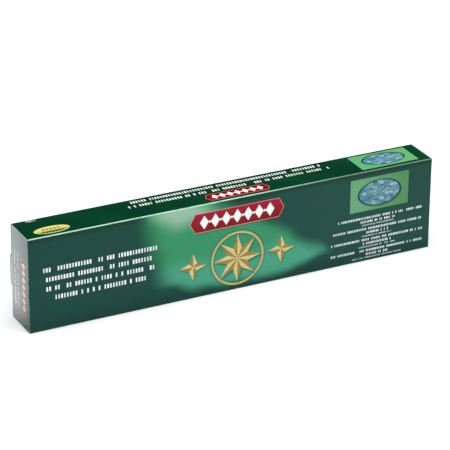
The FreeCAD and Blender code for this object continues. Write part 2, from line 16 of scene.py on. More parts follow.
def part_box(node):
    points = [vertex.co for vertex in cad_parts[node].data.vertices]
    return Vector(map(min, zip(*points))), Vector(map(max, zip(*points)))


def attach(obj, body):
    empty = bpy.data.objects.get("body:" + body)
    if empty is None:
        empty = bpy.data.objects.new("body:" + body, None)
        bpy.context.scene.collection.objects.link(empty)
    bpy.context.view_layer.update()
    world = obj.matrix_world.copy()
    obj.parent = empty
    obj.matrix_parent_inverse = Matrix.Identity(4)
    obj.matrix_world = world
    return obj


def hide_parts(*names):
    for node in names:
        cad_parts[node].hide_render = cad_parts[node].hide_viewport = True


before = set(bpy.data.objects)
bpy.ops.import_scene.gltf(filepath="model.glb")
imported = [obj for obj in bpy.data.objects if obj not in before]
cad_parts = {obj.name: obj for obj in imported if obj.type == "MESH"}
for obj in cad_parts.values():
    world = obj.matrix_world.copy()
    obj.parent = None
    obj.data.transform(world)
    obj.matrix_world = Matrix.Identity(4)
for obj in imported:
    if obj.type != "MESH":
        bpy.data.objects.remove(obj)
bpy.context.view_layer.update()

MM = 0.001
TO_MM = 1000.0

SLEEVE_LOW, SLEEVE_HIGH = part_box("carton_sleeve")
CARTON_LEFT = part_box("left_closure_panel")[0].x
CARTON_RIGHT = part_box("right_closure_panel")[1].x
CARTON_FRONT = SLEEVE_LOW.y

# the same in millimetres, for the print and the wear
LEFT, RIGHT = CARTON_LEFT * TO_MM, CARTON_RIGHT * TO_MM
FRONT, BACK = CARTON_FRONT * TO_MM, SLEEVE_HIGH.y * TO_MM
DEPTH = (SLEEVE_HIGH.y - CARTON_FRONT) * TO_MM
HEIGHT = SLEEVE_HIGH.z * TO_MM
SLEEVE_END = SLEEVE_HIGH.x * TO_MM
HALF_BOARD = 0.4

# ---------------------------------------------------------------- colours

VARNISH_VEIL = 0.02
DEEPEST_INK = 0.001


def paint(code):
    """A colour for a shader socket from its screen value, such as "264b43"."""
    parts = [int(code[i:i + 2], 16) / 255 for i in (0, 2, 4)]
    linear = [p / 12.92 if p <= 0.04045 else ((p + 0.055) / 1.055) ** 2.4 for p in parts]
    return (*linear, 1.0)


def ink(code):
    """A printing ink that looks like code under varnish, which lays a faint pale veil over it."""
    return (*(max(part - VARNISH_VEIL, DEEPEST_INK) for part in paint(code)[:3]), 1.0)


WHITE_INK = ink("e9efec")
STAR_SHADE = ink("1c4a33")
TAN_LIGHT = ink("d0c690")
TAN_DARK = ink("9d8248")

# ---------------------------------------------------------------- wiring helpers


class Wiring:
    """Adds nodes to one tree. Most methods add one node and return its output socket."""

    def __init__(self, tree):
        self.tree = tree

    def fill(self, item, inputs):
        """Gives a node's inputs their values. A value that is a socket is linked."""
        for key, value in inputs.items():
            if isinstance(value, bpy.types.NodeSocket):
                self.tree.links.new(value, item.inputs[key])
            else:
                item.inputs[key].default_value = value

    def node(self, kind, inputs=None, **settings):
        item = self.tree.nodes.new(kind)
        for name, value in settings.items():
            setattr(item, name, value)
        self.fill(item, inputs or {})
        return item

    def math(self, operation, *values):
        return self.node("ShaderNodeMath", dict(enumerate(values)), operation=operation).outputs[0]

    # scaled(value, factor, offset) is value * factor + offset; above and below give 1 or 0
    plus = partialmethod(math, "ADD")
    minus = partialmethod(math, "SUBTRACT")
    times = partialmethod(math, "MULTIPLY")
    over = partialmethod(math, "DIVIDE")
    scaled = partialmethod(math, "MULTIPLY_ADD")
    larger = partialmethod(math, "MAXIMUM")
    above = partialmethod(math, "GREATER_THAN")
    below = partialmethod(math, "LESS_THAN")
    absolute = partialmethod(math, "ABSOLUTE")
    floor = partialmethod(math, "FLOOR")
    fraction = partialmethod(math, "FRACT")

    def apart(self, first, second):
        """How far two numbers are from each other."""
        return self.absolute(self.minus(first, second))

    def vector(self, operation, *values):
        item = self.node("ShaderNodeVectorMath", dict(enumerate(values)), operation=operation)
        return item.outputs["Value" if operation in ("LENGTH", "DISTANCE") else "Vector"]

    stretch = partialmethod(vector, "MULTIPLY")

    def split(self, value):
        return self.node("ShaderNodeSeparateXYZ", {0: value}).outputs

    def join(self, x=0.0, y=0.0, z=0.0):
        return self.node("ShaderNodeCombineXYZ", {0: x, 1: y, 2: z}).outputs[0]

    def length(self, x, y):
        return self.vector("LENGTH", self.join(x, y))

    def remap(self, value, low, high, new_low=0.0, new_high=1.0, kind="SMOOTHSTEP"):
        """new_low up to low, new_high from high on, and a smooth step between."""
        inputs = {0: value, 1: low, 2: high, 3: new_low, 4: new_high}
        return self.node("ShaderNodeMapRange", inputs, interpolation_type=kind).outputs[0]

    def fall(self, value, low, high):
        """1 up to low, 0 from high on."""
        return self.remap(value, low, high, 1.0, 0.0)

    def mix(self, share, first, second):
        inputs = {0: share, 6: first, 7: second}
        return self.node("ShaderNodeMix", inputs, data_type="RGBA").outputs[2]

    def noise(self, place, scale, detail=2.0, roughness=0.5):
        """Noise about 0.5, finer the larger the scale."""
        inputs = {"Vector": place, "Scale": scale, "Detail": detail, "Roughness": roughness}
        return self.node("ShaderNodeTexNoise", inputs).outputs[0]

    def drawn(self, place, stretch, detail=3.0, roughness=0.5):
        """Noise that is drawn out: it is finer along an axis the larger its stretch."""
        return self.noise(self.stretch(place, stretch), 1.0, detail, roughness)

    def warp(self, place, scale, reach):
        """The place, pushed about by up to half of reach."""
        push = self.noise(place, scale, 1.0).node.outputs["Color"]
        push = self.vector("SUBTRACT", push, (0.5, 0.5, 0.5))
        return self.vector("MULTIPLY_ADD", push, (reach, reach, reach), place)

    def chance(self, x, y):
        """A different number from 0 to 1 for every (x, y)."""
        inputs = {"Vector": self.join(x, y)}
        return self.node("ShaderNodeTexWhiteNoise", inputs, noise_dimensions="2D").outputs["Value"]

    def motif(self, name, **inputs):
        """One of the print's motif groups; returns its outputs."""
        return self.node("ShaderNodeGroup", inputs, node_tree=bpy.data.node_groups[name]).outputs


def add_sockets(tree, direction, kind, labels):
    for label in labels:
        tree.interface.new_socket(label, in_out=direction, socket_type="NodeSocket" + kind)


# ---------------------------------------------------------------- the print's motifs
# A motif draws round its centre: away is the way from there to a place on the panel, in
# millimetres. Its masks go from 0 to 1.

FLATTEN = (1.0, 1.0, 0.0)
EDGE_BLUR = 0.12
RIBBON_SLANT = 0.55
LOZENGE_NARROW, LOZENGE_EDGE, DOT_EDGE = 2.5, (0.96, 1.04), (0.14, 0.2)
RUN_BLUR = 0.1
EMPTY_TILES = 0.15
TILE_HALF_LEAST, TILE_HALF_MORE, TILE_BLUR = 0.15, 0.14, 0.07
ROW_BLUR = 0.12
MOSAIC_RINGS, MOSAIC_WEDGES = 6.5, 24
MOSAIC_EDGE, MOSAIC_RIM = (0.985, 1.0), (0.9, 0.92)


def draw_patch(w, away, half, corner, blur):
    """A rectangle with round corners."""
    inner = w.vector("SUBTRACT", half, w.join(corner, corner))
    past = w.vector("SUBTRACT", w.vector("ABSOLUTE", away), inner)
    past = w.stretch(w.vector("MAXIMUM", past, (0.0, 0.0, 0.0)), FLATTEN)
    gap = w.minus(w.vector("LENGTH", past), corner)
    return {"Mask": w.fall(gap, w.times(blur, -1.0), blur)}


def draw_glow(w, away, reach, core):
    """A soft oval that is full inside the share core of its reach."""
    share = w.vector("LENGTH", w.vector("DIVIDE", away, reach))
    return {"Mask": w.fall(share, core, 1.0)}


def draw_ribbon(w, away, half, inset):
    """A long band with pointed ends. Inset draws it smaller all round."""
    x, y, _ = w.split(w.vector("ABSOLUTE", away))
    half_x, half_y, _ = w.split(half)
    over_y = w.minus(y, half_y)
    over_x = w.minus(w.scaled(y, RIBBON_SLANT, x), half_x)
    gap = w.plus(w.larger(over_x, over_y), inset)
    return {"Mask": w.fall(gap, -EDGE_BLUR, EDGE_BLUR)}


def draw_lozenges(w, away, pitch, tall, run):
    """Lozenges at an even pitch along a row, with a dot between neighbours."""
    x, y, _ = w.split(away)
    step = w.over(x, pitch)
    near = w.apart(step, w.math("ROUND", step))
    lozenge = w.plus(w.times(near, LOZENGE_NARROW), w.over(w.absolute(y), tall))
    half_step = w.plus(step, 0.5)
    off = w.times(w.minus(half_step, w.math("ROUND", half_step)), pitch)
    dot = w.over(w.length(off, y), tall)
    mask = w.larger(w.fall(lozenge, *LOZENGE_EDGE), w.fall(dot, *DOT_EDGE))
    inside = w.fall(w.absolute(x), run, w.plus(run, RUN_BLUR))
    return {"Mask": w.times(mask, inside)}


def draw_tiles(w, away, half, leading, tall, pitch, ragged, seed):
    """Blank tiles in groups of uneven length, in an even number of rows. Half is half the block."""
    x, y, _ = w.split(away)
    half_x, half_y, _ = w.split(half)
    line = w.over(y, leading)
    row = w.floor(line)
    off_line = w.times(w.apart(w.minus(line, row), 0.5), leading)
    in_row = w.fall(w.minus(off_line, tall), 0.0, w.times(tall, ROW_BLUR))
    in_block = w.below(w.absolute(y), half_y)
    length = w.minus(1.0, w.times(w.chance(row, seed), ragged))
    step = w.over(x, pitch)
    index = w.floor(step)
    tile_x = w.times(w.plus(index, 0.5), pitch)
    in_run = w.below(w.absolute(tile_x), w.times(length, half_x))
    chance = w.node("ShaderNodeTexWhiteNoise", {"Vector": w.join(index, row, seed)}).outputs
    filled = w.above(chance["Value"], EMPTY_TILES)
    middle = w.apart(w.minus(step, index), 0.5)
    width = w.scaled(w.split(chance["Color"])[1], TILE_HALF_MORE, TILE_HALF_LEAST)
    tile = w.fall(w.minus(middle, width), 0.0, TILE_BLUR)
    mask = w.times(w.times(tile, filled), w.times(in_row, in_run))
    return {"Mask": w.times(mask, in_block)}


def draw_star(w, away, outer, inner, points, blur):
    """A star with straight edges. Facet is 1 on one side of each point and 0 on the other."""
    away = w.stretch(away, FLATTEN)
    x, y, _ = w.split(away)
    radius = w.vector("LENGTH", away)
    sector = w.over(2 * math.pi, points)
    turns = w.over(w.math("ARCTAN2", x, y), sector)
    side = w.minus(turns, w.math("ROUND", turns))
    angle = w.times(w.absolute(side), sector)
    half = w.times(sector, 0.5)
    low_x = w.times(inner, w.math("COSINE", half))
    low_y = w.times(inner, w.math("SINE", half))
    run = w.minus(outer, low_x)
    along = w.times(low_y, w.minus(w.times(radius, w.math("COSINE", angle)), outer))
    across = w.times(run, w.times(radius, w.math("SINE", angle)))
    gap = w.over(w.plus(along, across), w.length(low_y, run))
    mask = w.fall(gap, w.times(blur, -1.0), blur)
    return {"Mask": mask, "Facet": w.above(side, 0.0)}


def draw_mosaic(w, away, half):
    """An oval of small wedge tiles in rings. Tone is a different number on every tile."""
    x, y, _ = w.split(w.vector("DIVIDE", away, half))
    radius = w.length(x, y)
    ring = w.floor(w.times(radius, MOSAIC_RINGS))
    turns = w.times(w.math("ARCTAN2", y, x), MOSAIC_WEDGES / (2 * math.pi))
    wedge = w.floor(w.scaled(ring, 0.5, turns))
    mask = w.fall(radius, *MOSAIC_EDGE)
    return {"Mask": mask, "Rim": w.remap(radius, *MOSAIC_RIM), "Tone": w.chance(ring, wedge)}


def add_motif(name, draw, vectors, numbers):
    """A node group for one motif. It reads Spot and Centre, and then the motif's own inputs."""
    tree = bpy.data.node_groups.new(name, "ShaderNodeTree")
    add_sockets(tree, "INPUT", "Vector", ["Spot", "Centre"] + vectors)
    add_sockets(tree, "INPUT", "Float", numbers)
    w = Wiring(tree)
    entry = w.node("NodeGroupInput").outputs
    away = w.vector("SUBTRACT", entry["Spot"], entry["Centre"])
    made = draw(w, away, **{label.lower(): entry[label] for label in vectors + numbers})
    add_sockets(tree, "OUTPUT", "Float", made)
    w.node("NodeGroupOutput", made)


add_motif("Rounded patch", draw_patch, ["Half"], ["Corner", "Blur"])
add_motif("Oval glow", draw_glow, ["Reach"], ["Core"])
add_motif("Pointed ribbon", draw_ribbon, ["Half"], ["Inset"])
add_motif("Lozenge row", draw_lozenges, [], ["Pitch", "Tall", "Run"])
add_motif("Blank tile rows", draw_tiles, ["Half"], ["Leading", "Tall", "Pitch", "Ragged", "Seed"])
add_motif("Faceted star", draw_star, [], ["Outer", "Inner", "Points", "Blur"])
add_motif("Mosaic rosette", draw_mosaic, ["Half"], [])

# ---------------------------------------------------------------- the printed panels

# an oval's reach out of its panel, which is flat, so that it has no effect
FAR = 1e3
# shadows fall to the right and down: by these millimetres, or by these shares of a star
RIBBON_SHADOW, RIBBON_SHADOW_SPREAD = (0.8, 0.9), 0.3
MOSAIC_SHADOW = (1.2, 1.8)
STAR_SHADOW, STAR_SHADOW_BLUR = (0.05, 0.09), 1.6
# shares of half a ribbon's height: its rim, and its lozenges' pitch, height and run
RIBBON_RIM = 0.06
LOZENGE_PITCH, LOZENGE_TALL, LOZENGE_RUN = 1.16, 0.7, 3.92
# the oval's share of its field, across and down
OVAL_ACROSS, OVAL_DOWN = 0.76, 0.8


def moved(centre, way, scale=1.0):
    """The centre, moved by way times scale."""
    return centre[0] + way[0] * scale, centre[1] + way[1] * scale


class Print(Wiring):
    """The print on one panel. Its places are (across, down) in millimetres from one corner."""

    def __init__(self, w, spot, ground=None):
        super().__init__(w.tree)
        self.spot = spot
        self.ground = ground

    @property
    def across(self):
        return self.split(self.spot)[0]

    @property
    def down(self):
        return self.split(self.spot)[1]

    def shape(self, name, centre, **sizes):
        """A motif's outputs on this panel."""
        return self.motif(name, Spot=self.spot, Centre=(*centre, 0.0), **sizes)

    def lay(self, mask, colour):
        """Prints the colour over the ground as far as the mask says."""
        self.ground = self.mix(mask, self.ground, colour)

    def deep_green(self):
        """The dark, faintly clouded ground of the top and the base."""
        tint = self.remap(self.noise(self.spot, 0.02, 1.0), 0.35, 0.65)
        self.ground = self.mix(tint, paint("00331c"), paint("013a21"))

    def tiles(self, centre, half_length, rows, leading, tall, pitch, ragged=0.3, colour=WHITE_INK):
        """A block of blank tile rows; rows is even."""
        half = (half_length, rows * leading / 2, 0.0)
        block = self.shape("Blank tile rows", centre, Half=half, Leading=leading, Tall=tall,
                           Pitch=pitch, Ragged=ragged, Seed=half_length)
        self.lay(block["Mask"], colour)

    def ribbon(self, centre, half):
        """A crimson ribbon with a pale rim and a row of white lozenges."""
        middle, tall = centre[1], half[1]
        size = (*half, 1.0)
        shadow = self.shape("Pointed ribbon", moved(centre, RIBBON_SHADOW), Half=size,
                            Inset=-RIBBON_SHADOW_SPREAD)
        self.lay(self.times(shadow["Mask"], 0.35), ink("0d1f18"))
        rim = self.shape("Pointed ribbon", centre, Half=size, Inset=0.0)
        self.lay(rim["Mask"], ink("d08e8a"))
        fade = self.remap(self.down, middle - tall, middle + tall)
        band = self.shape("Pointed ribbon", centre, Half=size, Inset=RIBBON_RIM * tall)
        self.lay(band["Mask"], self.mix(fade, ink("9c2238"), ink("7c1426")))
        row = self.shape("Lozenge row", centre, Pitch=tall * LOZENGE_PITCH,
                         Tall=tall * LOZENGE_TALL, Run=tall * LOZENGE_RUN)
        self.lay(row["Mask"], WHITE_INK)

    def mosaic(self, centre, half, field_left, field_right):
        """A pale green field with an oval mosaic of light blue tiles on it."""
        field = self.shape("Rounded patch", centre, Half=(*half, 1.0), Corner=0.2, Blur=EDGE_BLUR)
        fade = self.remap(self.across, centre[0] - half[0], centre[0] + half[0])
        self.lay(field["Mask"], self.mix(fade, ink(field_left), ink(field_right)))
        oval = (half[0] * OVAL_ACROSS, half[1] * OVAL_DOWN, 1.0)
        rosette = self.shape("Mosaic rosette", centre, Half=oval)
        blues = self.node("ShaderNodeValToRGB", {0: rosette["Tone"]})
        stops = blues.color_ramp.elements
        stops[0].color = ink("387079")
        stops[1].color = ink("9fc1bf")
        stops.new(0.5).color = ink("60919d")
        stops.new(0.75).color = ink("70839b")
        shadow = self.shape("Oval glow", moved(centre, MOSAIC_SHADOW), Reach=oval, Core=0.9)
        self.lay(self.times(shadow["Mask"], 0.5), ink("20452c"))
        self.lay(rosette["Mask"], self.mix(rosette["Rim"], blues.outputs[0], ink("1f4a4c")))

    def star(self, centre, outer, inner, points):
        """A wooden star with light and dark facets and a soft shadow under it."""
        sizes = {"Outer": outer, "Inner": inner, "Points": points}
        under = moved(centre, STAR_SHADOW, outer)
        shadow = self.shape("Faceted star", under, Blur=STAR_SHADOW_BLUR, **sizes)
        self.lay(self.times(shadow["Mask"], 0.6), STAR_SHADE)
        star = self.shape("Faceted star", centre, Blur=EDGE_BLUR, **sizes)
        grain = self.drawn(self.spot, (0.12, 1.6, 1.0))
        facet = self.mix(star["Facet"], TAN_LIGHT, TAN_DARK)
        facet = self.mix(self.remap(grain, 0.42, 0.68, 0.0, 0.35), facet, ink("6f5524"))
        self.lay(star["Mask"], facet)

    def ring(self, centre, radius, width):
        """A thin wooden ring."""
        away = self.vector("DISTANCE", self.stretch(self.spot, FLATTEN), (*centre, 0.0))
        gap = self.apart(away, radius)
        rim = width * 0.5
        self.lay(self.remap(gap, rim, width * 1.6, 0.45, 0.0), STAR_SHADE)
        colour = self.mix(self.remap(away, radius - width, radius + width), TAN_LIGHT, TAN_DARK)
        self.lay(self.fall(gap, rim - 0.1, rim + 0.1), colour)


FOOT_SHADE = 22.0


def front_print(w, spot):
    """Slate green ground, a lit patch in the middle, ribbon, stars, mosaic and tile rows."""
    p = Print(w, spot)
    p.ground = p.mix(p.remap(p.across, 120.0, 330.0), ink("254b43"), ink("2b4e46"))
    # painted shade: the front is darker in a band just under its top fold
    p.lay(p.remap(p.down, 2.5, 6.5, 0.6, 0.0), ink("17392e"))
    p.lay(p.remap(p.down, HEIGHT - FOOT_SHADE, HEIGHT), ink("1d4740"))
    # the glow: a steep left side, a right side that leans out, and a rounded foot
    left_start, left_lean = 112.0, 0.27
    right_start, right_lean = 187.0, 1.55
    foot_middle, foot_bend = 212.0, 0.04
    beam_start, beam_lean = 147.0, 0.8
    across, down, _ = p.split(p.warp(spot, 0.03, 12.0))
    from_left = p.minus(across, p.scaled(down, left_lean, left_start))
    from_right = p.minus(p.scaled(down, right_lean, right_start), across)
    aside = p.times(p.minus(across, foot_middle), foot_bend)
    foot = p.scaled(aside, aside, down)
    glow = p.times(p.remap(from_left, -13.0, 16.0), p.remap(from_right, -13.0, 17.0))
    glow = p.times(glow, p.fall(foot, 80.0, 91.0))
    p.lay(glow, p.mix(p.remap(down, 46.0, 68.0), ink("3e8c64"), ink("4b9a7e")))
    from_beam = p.apart(across, p.scaled(down, beam_lean, beam_start))
    p.lay(p.times(p.fall(from_beam, 8.0, 40.0), p.fall(down, 4.0, 26.0)), ink("90b8a0"))
    medal_x, medal_y, star_aside = 206.0, 60.5, 45.0
    p.ring((medal_x, medal_y), radius=26.0, width=2.2)
    p.star((medal_x, medal_y), outer=24.0, inner=11.0, points=8)
    for side in (-1, 1):
        p.star((medal_x + side * star_aside, medal_y), outer=13.5, inner=5.5, points=4)
    p.ribbon((205.5, 18.0), (48.0, 9.6))
    p.mosaic((354.0, 23.5), (31.0, 16.6), "68a076", "548a5c")
    p.tiles((69.5, 47.0), half_length=59.0, rows=4, leading=9.3, tall=2.0, pitch=2.8, ragged=0.28)
    # three kinds of line in turn: long, short and small
    lines = {"rows": 4, "leading": 11.2}
    p.tiles((353.0, 64.3), half_length=51.0, tall=1.05, pitch=1.7, ragged=0.08, **lines)
    p.tiles((353.0, 68.2), half_length=24.0, tall=1.05, pitch=1.7, ragged=0.6, **lines)
    p.tiles((353.0, 71.6), half_length=27.0, tall=0.65, pitch=1.1, ragged=0.4, colour=ink("c9d6d0"),
            **lines)
    return p.ground


def top_print(w, spot):
    """Deep green ground with a badge, a ribbon, a mosaic and two tile rows."""
    p = Print(w, spot)
    p.deep_green()
    p.lay(p.remap(p.across, 398.0, 410.0, 0.0, 0.5), paint("06402c"))
    p.ribbon((211.0, 11.0), (32.5, 6.6))
    p.mosaic((368.0, 19.6), (30.0, 15.2), "62a974", "66aa73")
    p.tiles((210.0, 27.5), half_length=106.0, rows=2, leading=8.2, tall=1.9, pitch=2.7, ragged=0.1)
    p.tiles((18.0, 35.0), half_length=5.0, rows=2, leading=1.7, tall=0.55, pitch=0.9, ragged=0.1)
    badge_x, badge_y, core = 28.0, 11.2, 0.96
    oval = p.shape("Oval glow", (badge_x, badge_y), Reach=(17.3, 7.2, FAR), Core=core)
    inner = p.shape("Oval glow", (badge_x, badge_y), Reach=(16.2, 6.2, FAR), Core=core)
    yellow = p.mix(p.remap(p.down, 10.0, 18.0), ink("cfc24c"), ink("e0e08e"))
    face = p.mix(p.fall(p.down, 9.9, 10.3), yellow, ink("8f9a6c"))
    for row_y, pitch, run, code in ((13.4, 3.6, 9.0, "94702f"), (7.4, 3.0, 11.5, "24361f")):
        marks = p.shape("Lozenge row", (badge_x, row_y), Pitch=pitch, Tall=2.4, Run=run)
        face = p.mix(marks["Mask"], face, ink(code))
    p.lay(oval["Mask"], ink("d3cf94"))
    p.lay(inner["Mask"], face)
    return p.ground


def back_print(w, spot):
    """The long side that faces away: the same ground with a ribbon, a star and tile rows."""
    p = Print(w, spot)
    p.ground = p.mix(p.remap(p.down, HEIGHT - FOOT_SHADE, HEIGHT), ink("274f46"), ink("1b4339"))
    middle = 110.0
    glow = p.motif("Oval glow", Spot=p.warp(spot, 0.02, 34.0), Centre=(middle, 50.0, 0.0),
                   Reach=(105.0, 55.0, FAR), Core=0.2)
    p.lay(p.times(glow["Mask"], 0.9), ink("3a9062"))
    p.star((middle, 58.0), outer=22.0, inner=10.0, points=8)
    p.ribbon((middle, 20.0), (48.0, 9.6))
    p.tiles((298.0, 46.0), half_length=80.0, rows=8, leading=8.0, tall=1.5, pitch=2.4)
    return p.ground


def base_print(w, spot):
    """The narrow side that the carton lies on: deep green with two tile rows."""
    p = Print(w, spot)
    p.deep_green()
    p.tiles((205.0, 19.2), half_length=97.0, rows=2, leading=8.4, tall=1.8, pitch=3.0)
    return p.ground


def end_print(w, spot):
    """An end panel, with its rows running up the panel; spot is (up, from the front edge)."""
    p = Print(w, spot)
    bare = p.mix(p.remap(p.across, 0.0, 30.0), ink("1d463c"), ink("2a5148"))
    p.ground = bare
    p.ribbon((41.0, 11.0), (28.5, 6.0))
    p.ground = p.mix(0.5, bare, p.ground)
    p.tiles((44.0, 27.0), half_length=36.0, rows=2, leading=6.8, tall=1.2, pitch=2.0, ragged=0.25,
            colour=ink("a9b8b2"))
    return p.ground


# ---------------------------------------------------------------- materials


class Finish(Wiring):
    """A new material's wiring. Whole-surface values sit on the shader's own sockets."""

    def __init__(self, name, specular=0.5, coat=0.0, coat_roughness=0.03, metallic=0.0):
        self.material = bpy.data.materials.new(name)
        self.material.use_nodes = True
        super().__init__(self.material.node_tree)
        self.tree.nodes.clear()
        values = {"Specular IOR Level": specular, "Coat Weight": coat,
                  "Coat Roughness": coat_roughness, "Metallic": metallic}
        self.shader = self.node("ShaderNodeBsdfPrincipled", values)
        self.node("ShaderNodeOutputMaterial", {"Surface": self.shader.outputs[0]})
        self.source = self.node("ShaderNodeTexCoord").outputs
        # the object's own place in millimetres
        self.place = self.stretch(self.source["Object"], (TO_MM, TO_MM, TO_MM))

    def facing(self):
        """The surface direction's three parts."""
        return self.split(self.source["Normal"])

    def done(self, colour, roughness, height=None, depth=0.0, strength=0.0):
        """Gives the shader its colour, its roughness and a bump of the depth in millimetres."""
        inputs = {"Base Color": colour, "Roughness": roughness}
        if height is not None:
            bump = {"Height": height, "Distance": depth * MM, "Strength": strength}
            inputs["Normal"] = self.node("ShaderNodeBump", bump).outputs[0]
        self.fill(self.shader, inputs)
        return self.material


# ---------------------------------------------------------------- carton board

PRINT_SPECULAR = 0.15
PRINT_ROUGHNESS = 0.2
BOARD_ROUGHNESS = 0.86

# limits for one part of a surface direction: past the middle of a fold, on a cut end, turned
# mostly that way, and side on
HALF_TURNED, END_ON, MOSTLY, SIDE_ON = 0.7071, 0.7, 0.5, 0.3

FOLD_REACH = 1.5
BLEED_BLUR = 0.2


def raw_board(w, fibre):
    """The uncoated grey-white side of the board, with short fibres and a few dark specks."""
    colour = w.mix(w.noise(w.place, 0.08, 4.0), paint("c9c5bb"), paint("dcd8ce"))
    colour = w.mix(w.remap(fibre, 0.45, 0.75, 0.0, 0.35), colour, paint("a39d90"))
    speck = w.node("ShaderNodeTexVoronoi", {"Vector": w.place, "Scale": 0.55}).outputs["Distance"]
    return w.mix(w.remap(speck, 0.03, 0.09, 0.6, 0.0), colour, paint("7d766a"))


def board_edge(w):
    """The cut edge of the board: fibre strata, stained by the ink and varnish of the print."""
    strata = w.drawn(w.place, (6.0, 6.0, 6.0), 2.0)
    return w.mix(strata, paint("6d7a70"), paint("98a298"))


def finish_card(w, printed, outside, edge, wear_and_glint):
    """Joins the printed face, the raw side and the cut edge into one board."""
    fibre = w.drawn(w.place, (0.9, 3.5, 3.5))
    # pale mint: worn ink, and on the sleeve's top front fold also a painted highlight
    worn_and_glinting = w.mix(wear_and_glint, printed, ink("a9d6bd"))
    colour = w.mix(outside, raw_board(w, fibre), worn_and_glinting)
    colour = w.mix(edge, colour, board_edge(w))
    varnished = w.times(outside, w.minus(1.0, edge))
    gloss = w.scaled(w.noise(w.place, 0.03, 3.0), 0.08, PRINT_ROUGHNESS - 0.04)
    roughness = w.remap(varnished, 0.0, 1.0, BOARD_ROUGHNESS, gloss, "LINEAR")
    peel = w.times(w.noise(w.place, 0.6, 2.0), 0.18)
    height = w.remap(varnished, 0.0, 1.0, fibre, peel, "LINEAR")
    return w.done(colour, roughness, height, 0.06, 0.5)


def make_sleeve_card():
    """The sleeve: each of its four panels has its own print, chosen by the way it faces."""
    w = Finish("printed_sleeve_card", PRINT_SPECULAR)
    x, y, z = w.split(w.place)
    face_x, face_y, face_z = w.facing()
    across = w.minus(x, LEFT)
    down = w.minus(HEIGHT, z)
    level_spot = w.join(across, w.minus(y, FRONT))
    printed = front_print(w, w.join(across, down))
    printed = w.mix(w.above(face_z, HALF_TURNED), printed, top_print(w, level_spot))
    back_spot = w.join(w.minus(RIGHT, x), down)
    printed = w.mix(w.above(face_y, HALF_TURNED), printed, back_print(w, back_spot))
    printed = w.mix(w.below(face_z, -HALF_TURNED), printed, base_print(w, level_spot))
    # the outer skin is less than half a board away from the sleeve's outer box
    depth = w.minus(w.apart(y, (FRONT + BACK) / 2), DEPTH / 2)
    height = w.minus(w.apart(z, HEIGHT / 2), HEIGHT / 2)
    outside = w.above(w.larger(depth, height), -HALF_BOARD)
    # the back panel and the seam flap end in cut edges; the print runs round the other folds
    from_end = w.minus(SLEEVE_END, w.absolute(x))
    cut_end = w.above(w.absolute(face_x), END_ON)
    at_fold = w.times(w.below(from_end, FOLD_REACH), w.below(y, BACK - FOLD_REACH))
    folded = w.times(cut_end, at_fold)
    edge = w.minus(cut_end, folded)
    outside = w.larger(outside, folded)
    # wear on the folds; on the long top front fold a pale mint line, partly wear and partly a
    # painted highlight, brightest toward the left end
    fold = w.remap(w.times(w.absolute(face_y), w.absolute(face_z)), 0.16, 0.4)
    rub = w.drawn(w.place, (0.25, 1.0, 1.0), 4.0, 0.6)
    top_front = w.times(w.below(face_y, 0.0), w.above(face_z, 0.0))
    fold_wear_and_glint = w.times(top_front, w.remap(across, 180.0, 330.0, 1.0, 0.3))
    fold_wear_and_glint = w.times(fold_wear_and_glint, w.remap(rub, 0.3, 0.5, 0.45, 1.0))
    wear_and_glint = w.times(fold, w.larger(fold_wear_and_glint, w.remap(rub, 0.58, 0.72, 0.0, 0.5)))
    # and along the cut ends
    scuff = w.times(w.fall(from_end, 0.1, 0.7), w.remap(rub, 0.5, 0.66, 0.0, 0.7))
    return finish_card(w, printed, outside, edge, w.larger(wear_and_glint, scuff))


def make_closure_card():
    """A closure panel: print on the side that faces away from the carton's middle."""
    w = Finish("printed_closure_card", PRINT_SPECULAR)
    x, y, z = w.split(w.place)
    face_x, _, face_z = w.facing()
    printed = end_print(w, w.join(z, w.minus(y, FRONT)))
    outward = w.times(face_x, w.math("SIGN", x))
    # the print runs round the front and back folds; the top, base and thumb tab are cut edges
    side_on = w.below(w.absolute(face_x), SIDE_ON)
    cut = w.larger(w.above(w.absolute(face_z), MOSTLY), w.above(y, BACK + 0.2))
    edge = w.times(side_on, cut)
    outside = w.larger(w.above(outward, SIDE_ON), w.minus(side_on, edge))
    rub = w.drawn(w.place, (1.0, 1.0, 0.3), 4.0, 0.6)
    rim_y = w.times(w.remap(w.absolute(y), BACK - 1.0, BACK - 0.3), w.below(y, BACK + 0.1))
    rim_z = w.remap(w.apart(z, HEIGHT / 2), HEIGHT / 2 - 1.2, HEIGHT / 2 - 0.5)
    wear_and_glint = w.times(w.larger(rim_y, rim_z), w.remap(rub, 0.42, 0.62, 0.0, 0.8))
    return finish_card(w, printed, outside, edge, wear_and_glint)


def from_level_fold(w):
    """How far a place is from the nearer of the top and the base."""
    _, _, z = w.split(w.place)
    return w.minus(HEIGHT / 2, w.apart(z, HEIGHT / 2))


def from_end_fold(w):
    """How far a place is from the nearer closure's outer face."""
    x, _, _ = w.split(w.place)
    return w.minus(RIGHT, w.absolute(x))


def make_flap_card(name, from_fold, bleed_reach):
    """A flap: the green ground runs a little over its fold, and the rest is white coated board."""
    w = Finish(name, PRINT_SPECULAR)
    bleed = w.fall(from_fold(w), bleed_reach, bleed_reach + BLEED_BLUR)
    coated = w.mix(w.noise(w.place, 0.05, 3.0), paint("cfcfc6"), paint("dcdcd4"))
    printed = w.mix(bleed, coated, ink("234b41"))
    face_x, face_y, face_z = w.facing()
    outward = w.times(face_x, w.math("SIGN", w.split(w.place)[0]))
    outside = w.larger(w.above(outward, MOSTLY), w.above(face_y, MOSTLY))
    largest = w.larger(w.absolute(face_x), w.absolute(face_y))
    edge = w.larger(w.above(w.absolute(face_z), MOSTLY), w.below(largest, MOSTLY))
    edge = w.times(edge, w.below(bleed, 0.5))
    wear_and_glint = w.remap(w.noise(w.place, 0.4, 3.0), 0.66, 0.8, 0.0, 0.4)
    return finish_card(w, printed, outside, edge, wear_and_glint)


